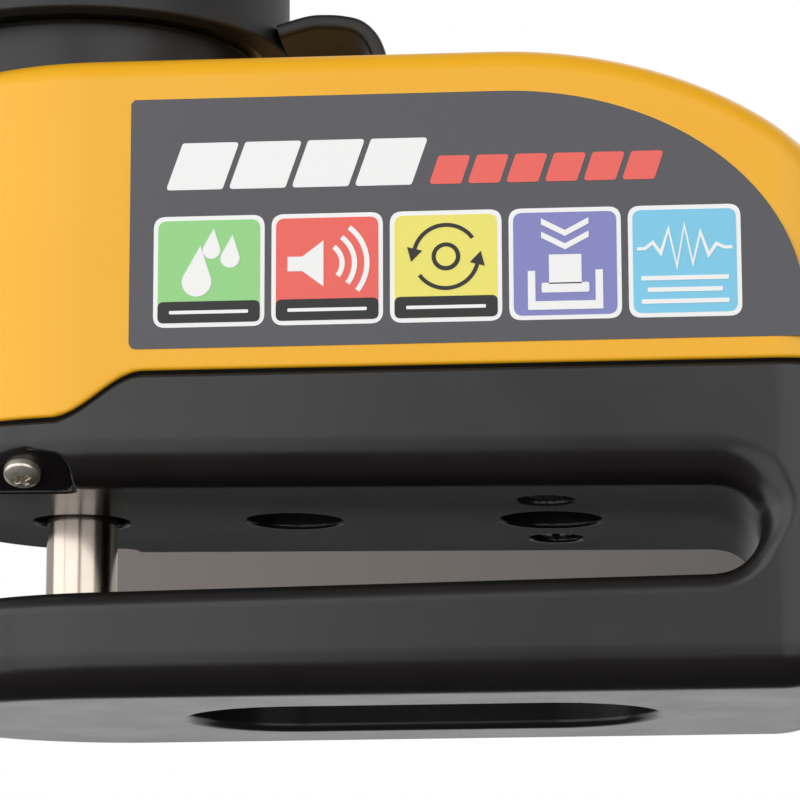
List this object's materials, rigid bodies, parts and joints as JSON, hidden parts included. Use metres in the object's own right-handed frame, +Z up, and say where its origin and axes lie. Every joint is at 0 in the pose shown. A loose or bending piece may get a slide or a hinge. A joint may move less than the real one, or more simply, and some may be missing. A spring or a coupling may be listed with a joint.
{
  "type": "disc brake lock",
  "caption": "Motorcycle disc brake lock with a U-shaped black body, disc slot, push-down steel pin, capped lock cylinder and a yellow alarm housing.",
  "frame": {"origin": "middle of the lock's length and thickness, at the underside of the lower jaw", "axes": "+X along the lock from the nose with the pin to the closed end of the slot, +Y from the front label to the back, +Z up along the pin"},
  "size_m": [0.0848, 0.0396, 0.069],
  "materials": {
    "black_paint": "semi-gloss powder coat",
    "yellow_abs": "moulded, semi-gloss",
    "label_film": "printed vinyl with a gloss over-laminate",
    "gasket_rubber": "moulded",
    "black_plastic": "moulded, fine texture",
    "cap_rubber": "moulded, satin",
    "hard_steel": "ground",
    "pin_steel": "polished",
    "nickel_screw": "nickel plated",
    "dark_screw": "black oxide",
    "zinc": "die cast",
    "brass": "turned",
    "board_green": "solder mask",
    "chip_black": "moulded",
    "cream_plastic": "moulded",
    "cell_steel": "pressed",
    "wire_red": "PVC insulation",
    "spring_steel": "drawn wire"
  },
  "bodies": {
    "housing": {"lock_body": "black_paint", "shell": "yellow_abs", "front_label": "label_film", "back_label": "label_film", "shell_gasket": "gasket_rubber", "lock_collar": "black_plastic", "guide_sleeve": "hard_steel", "pin_guide": "brass", "pin_socket": "hard_steel", "nose_screws": "nickel_screw", "sounder_screws": "dark_screw", "shell_screw": "dark_screw", "circuit_board": "board_green", "board_screws": "nickel_screw", "board_parts": "chip_black", "shock_sensor": "brass", "arm_switch": "chip_black", "sounder": "chip_black", "sounder_disc": "brass", "battery_tray": "chip_black", "button_cells": "cell_steel", "battery_contacts": "nickel_screw", "lead_wires": "wire_red", "return_spring": "spring_steel", "cap_strap": "cap_rubber", "strap_anchor": "cap_rubber"},
    "plunger_unit": {"plunger": "zinc", "lock_pin": "pin_steel", "plunger_seals": "gasket_rubber", "retaining_pin": "hard_steel", "driver_pins": "brass"},
    "key_plug_unit": {"key_plug": "brass", "key_pins": "brass", "plug_cam": "hard_steel"},
    "latch": {"latch_bolt": "hard_steel"},
    "cap": {"dust_cap": "cap_rubber"},
    "switch_plunger": {"arm_button": "cream_plastic"}
  },
  "joints": [
    {"name": "plunger_slide", "type": "slide", "parent": "housing", "child": "plunger_unit", "axis": [0, 0, 1], "range_m": [0, 0.0126], "deforming": ["return_spring"]},
    {"name": "plug_turn", "type": "hinge", "parent": "plunger_unit", "child": "key_plug_unit", "pos_m": [-0.025, 0, 0.05], "axis": [0, 0, 1], "range_deg": [0, 90]},
    {"name": "latch_slide", "type": "slide", "parent": "plunger_unit", "child": "latch", "axis": [1, 0, 0], "range_m": [-0.0021, 0]},
    {"name": "cap_lift", "type": "slide", "parent": "plunger_unit", "child": "cap", "axis": [0, 0, 1], "range_m": [0, 0.01]},
    {"name": "switch_press", "type": "slide", "parent": "housing", "child": "switch_plunger", "axis": [0, 0, 1], "range_m": [0, 0.00085]}
  ],
  "couplings": [
    {"joint": "latch_slide", "follows": "plug_turn", "m_per_rad": -0.0012732},
    {"joint": "switch_press", "follows": "plunger_slide", "ratio": 0.0635}
  ]
}
